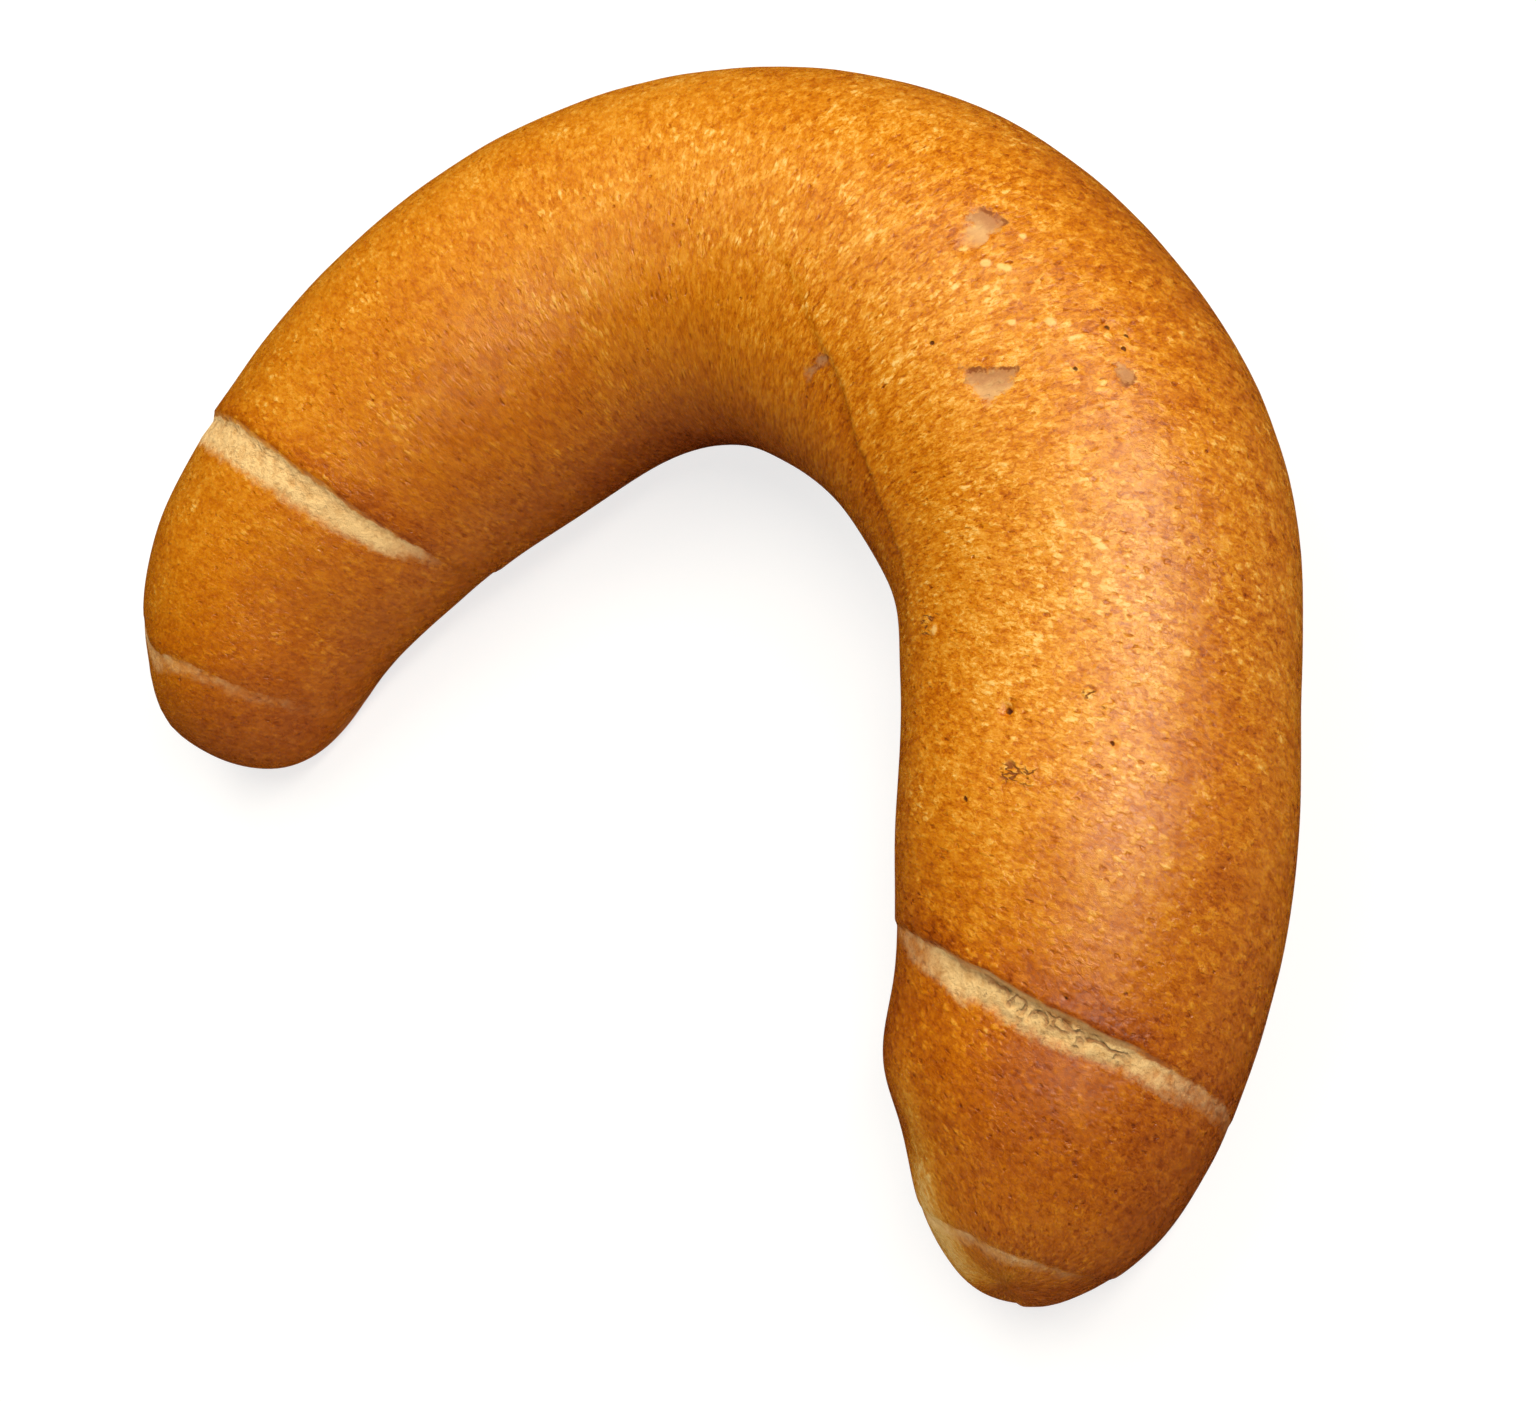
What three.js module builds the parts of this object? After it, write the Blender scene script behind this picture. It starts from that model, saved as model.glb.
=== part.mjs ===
// A crescent roll: one piece of dough, rolled up from a triangle, bent into a horseshoe and baked on a
// tray. It is one solid with no core or shell of its own.
//
// Millimetres, +Z up. Seen from above, the bend lies towards +Y and both horns point towards -Y. The
// origin is on the tray, under the middle of the roll's bounding box.

import * as THREE from "three";

// Stations along the middle of the roll, seen from above, from the tip of the -X horn round the bend to
// the tip of the +X horn: x, y and half the roll's width there.
const STATIONS = [
  [-48, -53, 8.5],
  [-53.5, -45, 13],
  [-57, -33, 17],
  [-55, -16.5, 19.5],
  [-49, 2, 21.5],
  [-39.5, 19, 21.5],
  [-24.5, 30, 21.5],
  [-6, 33.5, 22],
  [11, 30.5, 21.5],
  [27.5, 22, 21],
  [38.5, 9, 20],
  [48, -4.5, 20],
  [55, -17.5, 18],
  [59.5, -31.5, 15],
  [60.5, -46, 6.5],
];

const HEIGHT_TO_WIDTH = 0.84; // of the thick middle, which sags under its own weight as it proves
const HORN_EXTRA_HEIGHT = 0.1; // added to that ratio on the slimmest part of a horn, which sags less
const SAG_FREE_HALF_WIDTH = 9; // half the width at which a horn has all of that extra height
const SAGGING_HALF_WIDTH = 17; // half the width from which the dough sags fully
const WIDEST_LEVEL = 0.46; // height of the widest level, as a share of the roll's height
const SOLE_CUT = 1.2; // depth that a round underside would have, over the depth left by the flat tray
const TIP_LENGTH = 8.5; // length over which each end rounds off
const TIP_BLUNTNESS = 2.4; // exponent of that rounding: 2 is an ellipse, and more is blunter

const RINGS = 84; // bands between cross-sections, from tip to tip
const SEGMENTS = 36; // sides of each cross-section
const EVEN_SPACING = 0.15; // share of the spacing that is even; the rest crowds the sections at the tips

const CRUST_COLOUR = 0xcf8136;
const CRUST_ROUGHNESS = 0.42;

const spine = new THREE.CatmullRomCurve3(STATIONS.map((station) => new THREE.Vector3(...station)));
const spineLength = spine.getLength();

// Height over width where the roll is this wide.
function heightRatio(halfWidth) {
  const slimness = (SAGGING_HALF_WIDTH - halfWidth) / (SAGGING_HALF_WIDTH - SAG_FREE_HALF_WIDTH);
  return HEIGHT_TO_WIDTH + HORN_EXTRA_HEIGHT * THREE.MathUtils.clamp(slimness, 0, 1);
}

// How far the roll is rounded off at this distance from its nearer tip: 0 at the tip, 1 past TIP_LENGTH.
function tipRounding(distance) {
  const short = 1 - Math.min(distance / TIP_LENGTH, 1);
  return Math.pow(Math.max(1 - Math.pow(short, TIP_BLUNTNESS), 0), 1 / TIP_BLUNTNESS);
}

// The cross-section at a share of the spine's length: where it stands and how large it is.
function sectionAt(share) {
  const { x, y, z: halfWidth } = spine.getPointAt(share);
  const tangent = spine.getTangentAt(share).setZ(0).normalize();
  const height = 2 * halfWidth * heightRatio(halfWidth);
  return {
    centre: new THREE.Vector3(x, y, WIDEST_LEVEL * height),
    across: new THREE.Vector3(tangent.y, -tangent.x, 0), // from the spine towards the inside of the bend
    halfWidth,
    crown: (1 - WIDEST_LEVEL) * height, // rise of the top above the widest level
    depth: WIDEST_LEVEL * height, // drop of the flat sole below the widest level
    rounding: tipRounding(spineLength * Math.min(share, 1 - share)),
  };
}

// A point of a cross-section: angle 0 faces the inside of the bend, and a quarter turn faces up.
function pointOn(section, angle) {
  const side = Math.cos(angle) * section.halfWidth;
  const lift = Math.sin(angle);
  const rise =
    lift > 0 ? section.crown * lift : Math.max(section.depth * SOLE_CUT * lift, -section.depth);
  return section.centre
    .clone()
    .addScaledVector(section.across, side * section.rounding)
    .add(new THREE.Vector3(0, 0, rise * section.rounding));
}

// A sphere's grid of rings and segments from pole to pole, drawn out along the spine.
function rollGeometry() {
  const geometry = new THREE.SphereGeometry(1, SEGMENTS, RINGS);
  const position = geometry.getAttribute("position");
  const onSphere = new THREE.Vector3();
  for (let i = 0; i < position.count; i++) {
    onSphere.fromBufferAttribute(position, i);
    const turn = Math.acos(THREE.MathUtils.clamp(onSphere.y, -1, 1)) / Math.PI;
    const share = EVEN_SPACING * turn + (1 - EVEN_SPACING) * (1 - onSphere.y) / 2;
    const angle = Math.atan2(onSphere.z, -onSphere.x);
    const point = pointOn(sectionAt(THREE.MathUtils.clamp(share, 0, 1)), angle);
    position.setXYZ(i, point.x, point.y, point.z);
  }
  geometry.deleteAttribute("uv");
  geometry.computeBoundingBox();
  const middle = geometry.boundingBox.getCenter(new THREE.Vector3());
  geometry.translate(-middle.x, -middle.y, 0);
  geometry.computeVertexNormals();
  return geometry;
}

const crust = new THREE.MeshStandardMaterial({
  name: "crust",
  color: CRUST_COLOUR,
  roughness: CRUST_ROUGHNESS,
  metalness: 0,
});

const roll = new THREE.Mesh(rollGeometry(), crust);
roll.name = "crescent_roll";

const crescentRoll = new THREE.Group();
crescentRoll.add(roll);

export default crescentRoll;
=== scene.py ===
# A crescent roll, baked as one piece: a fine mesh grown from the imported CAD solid, with the wraps of its
# dough, their seams, and the chips, blisters and pinholes of its crust.
#
# Lengths are in millimetres, except those of the studio's lamps and the floor's size, which are in metres.
# A place on the roll is given as a baker would: how far from the tip of a horn, and how far round the
# dough. Round the dough, 0 degrees faces the inside of the bend, 90 is the crest, 180 faces out, and 270 is
# the middle of the sole.

import math

import bpy
import numpy as np
from mathutils import Matrix, Vector, noise
from mathutils.bvhtree import BVHTree


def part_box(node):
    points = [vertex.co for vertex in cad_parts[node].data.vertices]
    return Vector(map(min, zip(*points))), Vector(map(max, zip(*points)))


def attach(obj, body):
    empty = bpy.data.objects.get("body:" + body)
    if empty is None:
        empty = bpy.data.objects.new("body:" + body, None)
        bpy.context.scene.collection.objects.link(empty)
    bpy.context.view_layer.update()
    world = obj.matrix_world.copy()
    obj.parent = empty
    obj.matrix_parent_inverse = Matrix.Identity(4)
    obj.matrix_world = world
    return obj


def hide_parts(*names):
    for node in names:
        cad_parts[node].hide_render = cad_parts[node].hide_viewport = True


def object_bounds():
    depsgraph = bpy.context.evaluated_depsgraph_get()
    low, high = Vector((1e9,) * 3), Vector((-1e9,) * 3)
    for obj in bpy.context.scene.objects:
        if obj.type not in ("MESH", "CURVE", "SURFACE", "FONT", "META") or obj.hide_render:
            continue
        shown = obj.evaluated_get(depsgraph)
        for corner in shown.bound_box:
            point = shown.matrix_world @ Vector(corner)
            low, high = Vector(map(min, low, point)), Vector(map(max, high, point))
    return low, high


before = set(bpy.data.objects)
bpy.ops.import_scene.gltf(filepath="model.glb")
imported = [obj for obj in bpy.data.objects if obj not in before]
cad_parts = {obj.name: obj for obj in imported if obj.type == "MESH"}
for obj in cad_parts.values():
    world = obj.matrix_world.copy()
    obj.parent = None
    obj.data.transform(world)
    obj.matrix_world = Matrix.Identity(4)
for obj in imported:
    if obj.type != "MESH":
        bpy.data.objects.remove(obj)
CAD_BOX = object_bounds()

MM = 0.001
NODE = "crescent_roll"

# The mesh
RINGS = 460
SEGMENTS = 216
SOLE_EDGE = 48  # degrees either side of straight down within which the mesh may be coarse
SOLE_SHARE = 0.12  # share of the segments spent there
WALK_STEP = 2.0  # between the points from which the middle of the roll is measured
CAP_REACH = 1.1  # a horn's end begins this many half-widths from its tip
TIP_EASE = 12.0  # over this length the rings change from square across the roll to fanned round its tip
MM_PER_DEGREE = 0.29  # round the roll, where it is thick
WIDEST_LEVEL = 0.46  # height of the roll's widest level, as a share of its height
LINE_BLUR = 6.0  # smooths the middle line
FACET_BLUR = 3.0  # smooths the CAD solid's flat facets away, along the roll
FACET_BLUR_ROUND = 5.0  # and round it, in degrees
FINE_RINGS = ("+X", 22.0, 42.0)  # the horn, and the stretch of it where the rings lie twice as close


# ---- Shape helpers ----


def ramp(low, high, value):
    """0 below low, 1 above high and smooth between. With low above high it falls instead."""
    share = np.clip((value - low) / (high - low), 0, 1)
    return share * share * (3 - 2 * share)


def through(points, value):
    """The curve through these (place, amount) points, level beyond its ends."""
    places, amounts = np.array(points, float).T
    return np.interp(value, places, amounts)


def ripple(points, size, seed, octaves=1):
    """Smooth noise from about -1 to 1 with swells of this size, the same on every run."""
    shift = Vector((17.3, 5.1, 11.7)) * seed
    values = [
        noise.fractal(Vector(point) + shift, 0.7, 2.0, octaves)
        for point in points.reshape(-1, 3) / size
    ]
    return np.array(values).reshape(points.shape[:-1])


def turned_about_ends(values):
    """values carried on beyond both ends, as if turned half round about each end."""
    return np.concatenate([2 * values[0] - values[:0:-1], values, 2 * values[-1] - values[-2::-1]])


def blurred(values, places, radius, lap=None):
    """values smoothed along their first axis by a bell curve, at these places.

    Beyond the ends they carry on from the other end where there is a lap, or else turned about the end.
    """
    if lap:
        more_places = np.concatenate([places - lap, places, places + lap])
        more = np.concatenate([values] * 3)
    else:
        more_places = turned_about_ends(places)
        more = turned_about_ends(values)
    bell = np.exp(-0.5 * ((places[:, None] - more_places) / radius) ** 2) * np.gradient(more_places)
    return (bell / bell.sum(1, keepdims=True)) @ more


# ---- The CAD solid's middle line and skin ----


def cad_surface():
    """The CAD solid for ray casting, in millimetres."""
    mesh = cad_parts[NODE].data
    corners = [vertex.co / MM for vertex in mesh.vertices]
    return BVHTree.FromPolygons(corners, [tuple(face.vertices) for face in mesh.polygons])


def inward(heading):
    """The level direction that faces the inside of the bend, for someone walking from the -X horn."""
    return Vector((heading.y, -heading.x, 0))


def centred(surface, point, side):
    """The middle of the solid's width through point, and half that width."""
    one = surface.ray_cast(point, side)[0]
    other = surface.ray_cast(point, -side)[0]
    return (one + other) / 2, (one - other).length / 2


def walk(surface, start, heading):
    """Middle points from start to where the end of a horn begins."""
    points = [start]
    while True:
        guess = points[-1] + heading * WALK_STEP
        middle, half_width = centred(surface, guess, inward(heading))
        if surface.ray_cast(middle, heading)[3] < half_width * CAP_REACH:
            return points
        heading = (heading * 4 + (middle - points[-1]).normalized()).normalized()
        points.append(middle)


def middle_line(surface):
    """Evenly spaced points along the middle of the roll, from the -X horn's end to the +X horn's."""
    low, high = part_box(NODE)
    level = high.z / MM * WIDEST_LEVEL
    outside = surface.ray_cast(Vector((0, high.y / MM + 10, level)), Vector((0, -1, 0)))[0]
    inside = surface.ray_cast(Vector((0, low.y / MM, level)), Vector((0, 1, 0)))[0]
    start = (outside + inside) / 2
    to_minus = walk(surface, start, Vector((-1, 0, 0)))
    to_plus = walk(surface, start, Vector((1, 0, 0)))
    rough = np.array(to_minus[:0:-1] + to_plus)
    line = blurred(rough, np.arange(len(rough)) * WALK_STEP, LINE_BLUR)
    steps = np.linalg.norm(np.diff(line, axis=0), axis=1)
    place = np.concatenate([[0], np.cumsum(steps)])
    even = np.linspace(0, place[-1], len(rough))
    return np.column_stack([np.interp(even, place, line[:, k]) for k in range(3)]), place[-1]


# ---- The grid of rings and segments ----


def round_a_tip(from_tip, radius):
    """How rings turn the corner into a tip: their distance from the middle line's end, and their lean."""
    turning = radius * math.pi / 2 - TIP_EASE / 2
    share = (from_tip - turning) / TIP_EASE
    eased = np.clip(share, 0, 1)
    along_line = TIP_EASE * (eased**3 - eased**4 / 2 + np.maximum(share - 1, 0))
    return along_line, math.pi / 2 - (from_tip - along_line) / radius


class Grid:
    """Rings round the roll from tip to tip. Arrays of shape (rings, segments) hold what varies over it."""

    def __init__(self, surface):
        line, line_length = middle_line(surface)
        tip_radii = [
            centred(surface, Vector(end), inward(Vector(end - near).normalized()))[1]
            for end, near in ((line[0], line[3]), (line[-1], line[-4]))
        ]
        self.length = line_length + sum(tip_radii) * math.pi / 2
        self.along = self.ring_places()[:, None]
        shares = [0, SOLE_SHARE / 2, 1 - SOLE_SHARE / 2, 1]
        turns = [-90, -90 + SOLE_EDGE, 270 - SOLE_EDGE, 270]
        self.turn = np.interp(np.arange(SEGMENTS) / SEGMENTS, shares, turns)[None, :]
        self.place_rings(surface, line, line_length, tip_radii)
        self.cast(surface)

    def ring_places(self):
        """Where the rings lie from tip to tip: evenly, but closer where the torn seam needs it."""
        horn, start, end = FINE_RINGS
        even = np.linspace(0, self.length, RINGS * 4)
        from_tip = even if horn == "-X" else self.length - even
        density = 1 + ramp(start - 3, start, from_tip) * ramp(end + 3, end, from_tip)
        count = np.concatenate([[0], np.cumsum((density[1:] + density[:-1]) / 2)])
        return np.interp(np.linspace(0, count[-1], RINGS), count, even)

    def place_rings(self, surface, line, line_length, tip_radii):
        """Each ring's centre, its heading, and how far its rays lean towards the nearer tip."""
        from_first, lean_first = round_a_tip(self.along[:, 0], tip_radii[0])
        from_last, lean_last = round_a_tip(self.length - self.along[:, 0], tip_radii[1])
        nearer_first = self.along[:, 0] < self.length / 2
        place = np.where(nearer_first, from_first, line_length - from_last)
        self.lean = np.where(nearer_first, -lean_first, lean_last)
        even = np.linspace(0, line_length, len(line))
        tops = [surface.ray_cast(Vector(point), Vector((0, 0, 1)))[0].z for point in line]
        tops = blurred(np.array(tops), even, LINE_BLUR)
        line = np.column_stack([line[:, :2], tops * WIDEST_LEVEL])
        slope = np.gradient(line[:, :2], axis=0)
        self.centre = np.column_stack([np.interp(place, even, line[:, k]) for k in range(3)])
        heading = np.column_stack([np.interp(place, even, slope[:, k]) for k in range(2)])
        heading /= np.linalg.norm(heading, axis=1)[:, None]
        self.heading = np.column_stack([heading, np.zeros(len(heading))])

    def cast(self, surface):
        """Where each ring's rays leave the CAD solid, smoothed free of its facets."""
        across = np.column_stack([self.heading[:, 1], -self.heading[:, 0], self.heading[:, 2]])
        turn = np.radians(self.turn)[..., None]
        round_ring = np.cos(turn) * across[:, None, :] + np.sin(turn) * np.array([0.0, 0.0, 1.0])
        lean = self.lean[:, None, None]
        rays = np.cos(lean) * round_ring + np.sin(lean) * self.heading[:, None, :]
        reach = np.array(
            [
                [surface.ray_cast(Vector(centre), Vector(ray))[3] for ray in ring]
                for centre, ring in zip(self.centre, rays)
            ]
        )
        from_tip = np.minimum(self.along, self.length - self.along)
        reach += (blurred(reach, self.along[:, 0], FACET_BLUR) - reach) * ramp(2, 7, from_tip)
        smooth = blurred(reach.T, self.turn[0], FACET_BLUR_ROUND, lap=360).T
        softened = blurred(reach.T, self.turn[0], FACET_BLUR_ROUND / 3, lap=360).T
        upper = ramp(-40, -10, self.turn) * ramp(220, 190, self.turn)
        reach = softened + (smooth - softened) * upper
        self.point = self.centre[:, None, :] + rays * reach[..., None]
        self.point[..., 2] = np.maximum(self.point[..., 2], 0)
        self.normal = self.normals()

    def normals(self):
        """Unit normals of the grid's surface, facing out."""
        along = np.gradient(self.point, self.along[:, 0], axis=0)
        onward, back = np.roll(self.point, -1, 1), np.roll(self.point, 1, 1)
        normal = np.cross(along, onward - back)
        size = np.linalg.norm(normal, axis=2, keepdims=True)
        normal /= np.maximum(size, 1e-9)
        normal[0], normal[-1] = -self.heading[0], self.heading[-1]
        return normal

    def nearest(self, from_tip, turn):
        """The grid point nearest to this place, as a distance from the +X tip and degrees round."""
        i, j = self.index(from_tip, turn)
        return self.length - self.along[i, 0], self.turn[0, j]

    def index(self, from_tip, turn):
        """The ring and the segment nearest to this place, which is measured from the +X tip."""
        ring = np.abs(self.length - from_tip - self.along[:, 0]).argmin()
        return ring, np.abs(self.turn[0] - turn).argmin()

    def stretch(self):
        """Millimetres on the surface for each one from tip to tip along the roll."""
        return np.linalg.norm(np.gradient(self.point, self.along[:, 0], axis=0), axis=2)

    def round_scale(self):
        """Millimetres on the surface for each degree round the roll."""
        onward, back = np.roll(self.point, -1, 1), np.roll(self.point, 1, 1)
        angle = (np.roll(self.turn, -1, 1) - np.roll(self.turn, 1, 1)) % 360
        return np.maximum(np.linalg.norm(onward - back, axis=2) / angle, 0.02)


# ---- Relief: the wraps of dough, their seams, and what has chipped or blistered ----

# Each horn's seam is the spiral edge of the rolled-up dough, from the sole under the bend side, over the
# crest, and round once more to the tip. Each list has an amount for each of some places round the dough,
# in degrees that count on past 360. The amounts are how far the seam is from the horn's tip, how wide it
# gapes, how bare of crust the gap is, how torn its dough is, and how high the step between the wraps is.
SEAMS = {
    "+X": {
        "from_tip": [
            (-100, 46), (-40, 41.5), (0, 38.2), (28, 35.7), (51, 33.5), (76, 30.9), (101, 29), (144, 26.9),
            (174, 26.1), (220, 23.5), (280, 18), (340, 11.5), (368, 8.3), (406, 6.1), (437, 4.9),
            (464, 4.4), (496, 4.7), (526, 5.5), (556, 7.1), (600, 10),
        ],
        "gape": [
            (0, 0.5), (28, 1), (45, 2.4), (60, 2.9), (105, 2.2), (158, 1.6), (230, 0.6), (340, 0.6),
            (380, 1.3), (440, 1.2), (556, 0.6),
        ],
        "bare": [
            (0, 0), (30, 0.2), (48, 0.4), (62, 0.85), (76, 1), (118, 1), (136, 0.6), (150, 0.35),
            (180, 0.2), (220, 0), (340, 0), (368, 0.4), (400, 0.3), (470, 0.35), (500, 0.3), (560, 0),
        ],
        "torn": [(56, 0), (70, 0.6), (80, 1), (124, 1), (134, 0.2), (150, 0)],
        "step": [
            (-100, 0), (-40, 0.2), (0, 0.1), (30, 0.3), (60, 0.8), (120, 0.8), (150, 0.4), (180, 0.1),
            (230, 0.1), (340, 0.1), (380, 0.25), (480, 0.25), (510, 0.5), (556, 0.4), (600, 0),
        ],
    },
    "-X": {
        "from_tip": [
            (-100, 52), (-40, 47), (0, 44.5), (27, 42.4), (45, 40.9), (65, 39.6), (90, 37.9), (121, 35.7),
            (136, 34.6), (180, 31.5), (270, 26), (345, 20.5), (368, 18.4), (382, 16.1), (405, 13.2),
            (437, 7.9), (460, 7.4), (490, 9), (520, 12), (545, 15),
        ],
        "gape": [
            (0, 0.6), (14, 1.1), (28, 2.6), (64, 3.5), (90, 4), (136, 3.6), (180, 2.5), (230, 1),
            (345, 0.6), (390, 1.4), (440, 1.6), (545, 0.6),
        ],
        "bare": [
            (4, 0), (14, 0.3), (28, 0.7), (46, 0.95), (64, 1), (150, 1), (230, 0.1), (345, 0),
            (375, 0.15), (440, 0.4), (480, 0.4), (545, 0),
        ],
        "torn": [(30, 0), (50, 0.3), (120, 0.3), (150, 0)],
        "step": [
            (-100, 0), (-40, 0.2), (60, 0.6), (130, 0.5), (160, 0.15), (230, 0.1), (345, 0.1),
            (400, 0.25), (440, 0.3), (480, 0.15), (545, 0),
        ],
    },
}
LIP_REACH = 8.0  # the swelling behind a seam's lip dies away over this length
LIP_SHARE = 0.55  # share of a seam's step that rises behind its lip; the rest sinks below the lip
UNDER_LIP = 0.2  # how deep the dough is cut away under a lip
UNDER_TORN_LIP = 0.1  # and how much deeper where it tore
TORN_LUMPS = 0.55  # height of the lumps in torn dough
FOOT_FADE = 1.0  # the bare dough fades out over this length beyond the foot of a gap
FAR = 50.0  # a distance that means "nowhere near"

# The last flap of dough ends along the inside of the bend: by distance from the +X tip, how far round its
# edge is in degrees, and the height of the step there.
FLAP_EDGE = [
    (72, 32), (78, 34.2), (88, 35.3), (95.3, 40), (98.8, 42.7), (104.8, 52), (108.8, 54.5), (112.9, 59.6),
    (119.5, 70.3), (124, 75),
]
FLAP_STEP = [(66, 0), (76, 0.35), (88, 0.7), (100, 0.8), (106, 0.6), (113, 0.35), (120, 0.2), (126, 0)]

# Flakes of crust that have come off: distance from the +X tip, degrees round, how deep, the outline as
# (towards the middle of the roll, round) from that place, and which of its sides curls up.
CHIPS = [
    (104.1, 113.0, 0.35, [(2.7, 0.5), (2.2, 1.8), (-0.8, 2.4), (-1.7, -1.0), (-0.7, -3.7)], 1),
    (89.5, 88.3, 0.3, [(2.9, -1.4), (0.3, 2.9), (-0.9, 2.0), (-2.0, -0.8), (0.6, -1.9)], 0),
    (85.7, 125.3, 0.15, [(0.9, -0.5), (0.2, 0.5), (-0.9, 0.5), (-1.1, -0.8)], 2),
    (108.9, 49.3, 0.3, [(-0.3, 1.7), (-1.0, 1.3), (0.3, -2.0), (0.8, -1.6)], 1),
]
CHIP_RAGGED = 1.3  # how ragged their outlines are, next to the seams
CHIP_CURL = 0.4  # height of the curled side, as a share of the chip's depth

# Pinholes, as distance from the +X tip, degrees round and radius.
PINHOLES = [
    (55.8, 78.4, 0.5), (52.9, 111.5, 0.24), (90.3, 126.8, 0.22), (89.3, 130.4, 0.24), (88.2, 128, 0.2),
    (87.5, 112, 0.2), (97.6, 80, 0.18), (30.4, 105.5, 0.22), (35.1, 41.2, 0.25), (47.5, 66, 0.2),
]
HOLE_DEPTH = 3.0  # in radii
HOLE_MOUTH = 1.6  # radius where the hole meets the crust, in radii
HOLE_WALL = 2.0  # how far the shade painted in it reaches from the bottom of the hole, in radii

# Small bubbles that burst and left a crackle, the same way.
CRACKLES = [(49.8, 81, 1.5), (49.5, 87, 1.2), (67.2, 45.3, 1.6), (57.2, 104, 0.9), (56, 110, 0.8)]

# Blisters, the same way.
BLISTERS = [
    (100.8, 106.2, 0.7), (99, 111, 0.6), (99.7, 109.1, 0.55), (92.6, 112.1, 0.65), (66.2, 49.9, 0.6),
    (94.1, 103, 0.45), (101.5, 121, 0.5), (61.8, 131, 0.5),
]
BLISTER_HEIGHT = 0.22
BLISTER_SPREAD = 1.5  # radius at its foot, in radii

# Swells and hollows of the hand-rolled shape: horn, distance from its tip, degrees round, half-length,
# half-angle, height.
SWELLS = [
    ("+X", 24, 14, 6, 25, 0.7),
    ("+X", 14, 20, 5, 25, -0.7),
    ("+X", 47, 8, 14, 28, -0.55),
    ("+X", 4, 90, 6, 60, 0.4),
    ("+X", 4, 240, 5, 60, 0.35),
    ("+X", 9, -20, 4, 30, -0.3),
    ("+X", 54, 200, 12, 30, -0.35),
    ("+X", 94, 0, 9, 30, 0.3),
    ("+X", 118, 165, 10, 30, -0.25),
    ("-X", 66, 155, 16, 30, -0.28),
    ("-X", 21, -22, 5, 30, -0.5),
    ("-X", 14, -35, 4, 30, 0.25),
]

# Where the crust is darker, or paler when negative, mostly where the oven baked it more or less; two are
# painted light, as marked. Horn, distance from its tip, degrees round, half-length, half-angle, amount.
BAKING_AND_PAINTED_LIGHT = [
    ("+X", 18, 38, 6, 14, -0.3),
    ("+X", 9, 22, 5, 28, -0.6),
    ("+X", 5.5, -8, 5, 34, -0.6),
    ("+X", 16, 90, 20, 400, 0.24),
    ("+X", 27, 108, 11, 26, 0.09),
    ("-X", 0, 90, 26, 400, 0.14),
    ("-X", 56, 90, 22, 60, 0.07),
    ("+X", 52, 140, 20, 16, 0.1),
    ("+X", 98, 150, 16, 30, 0.12),
    # Painted shade in the inside of the bend, as well as browner crust there.
    ("+X", 122, -25, 45, 30, 0.4),
    # A painted highlight: paler where the gloss falls on the +X arm.
    ("+X", 64, 116, 8, 16, -0.07),
]
# How uneven its colour is, by distance from the -X tip. The -X half had a smoother skin.
UNEVEN = [(0, 0.62), (90, 0.72), (125, 1), (175, 1), (192, 0.85)]
# How much darker the crust is round the roll, as (degrees, amount): browner on its sides, and painted shade
# there.
BROWNED_AND_SHADED_ROUND = [
    (-90, 0.1), (-40, 0.25), (0, 0.23), (35, 0.15), (65, 0.04), (100, 0), (130, 0.02), (165, 0.12),
    (200, 0.2), (240, 0.2), (270, 0.1),
]
# Where it wrinkled, the same way but for the amount.
WRINKLED = ("+X", 113, 112, 9, 30)


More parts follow.
